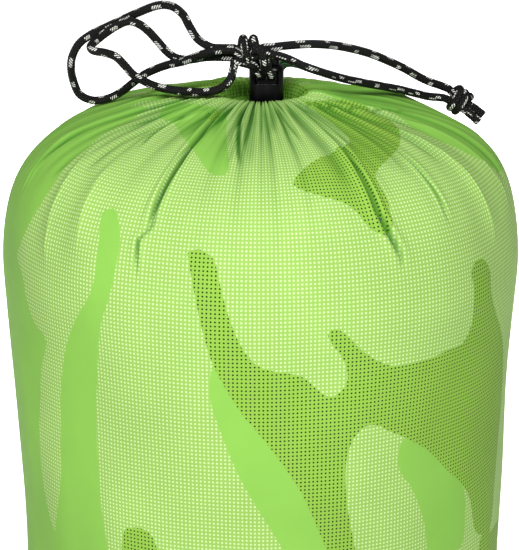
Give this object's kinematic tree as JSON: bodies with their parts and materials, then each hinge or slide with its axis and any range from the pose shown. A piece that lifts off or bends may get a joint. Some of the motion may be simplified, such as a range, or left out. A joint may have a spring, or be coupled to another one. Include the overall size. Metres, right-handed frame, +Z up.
{
  "type": "stuff sack",
  "caption": "Round drawcord stuff sack of printed ripstop, packed full, with its mouth gathered, a spring cord lock and the drawcord tied in a slip knot.",
  "frame": {"origin": "centre of the base panel's underside, where the sack stands", "axes": "+Z up along the sack from base to mouth, -Y towards the front where the cord lock sits, +X towards the tied cord ends"},
  "size_m": [0.243, 0.2442, 0.4413],
  "materials": {
    "sack_fabric": "semi-gloss coated nylon with a printed dot pattern",
    "hem_fabric": "gathered nylon hem",
    "flap_fabric": "plain dark taffeta",
    "binding_tape": "woven binding tape",
    "bag_shell": "packed quilted sleeping bag",
    "drawcord": "black braid with white flecks",
    "lock_plastic": "satin moulded acetal",
    "spring_wire": "drawn spring wire"
  },
  "bodies": {
    "sack": {"side_panel": "sack_fabric", "base_panel": "sack_fabric", "side_seam": "sack_fabric", "drawcord_channel": "hem_fabric", "storm_flap": "flap_fabric", "base_binding": "binding_tape", "stuffed_sleeping_bag": "bag_shell", "drawcord_ring": "drawcord", "cord_riser_left": "drawcord", "cord_riser_right": "drawcord", "cord_loop_outer": "drawcord", "cord_loop_inner": "drawcord", "cord_tail_upper": "drawcord", "cord_tail_lower": "drawcord", "slip_knot": "drawcord", "end_knot": "drawcord", "cord_end_upper": "drawcord", "cord_end_lower": "drawcord", "cord_lock_barrel": "lock_plastic", "cord_lock_spring": "spring_wire"},
    "lock_plunger": {"cord_lock_plunger": "lock_plastic"}
  },
  "joints": [
    {"name": "lock_press", "type": "slide", "parent": "sack", "child": "lock_plunger", "axis": [0, 0, 1], "range_m": [-0.0025, 0], "stiffness_N_per_m": 1200, "springref_m": 0.002, "deforming": ["cord_lock_spring"]}
  ]
}
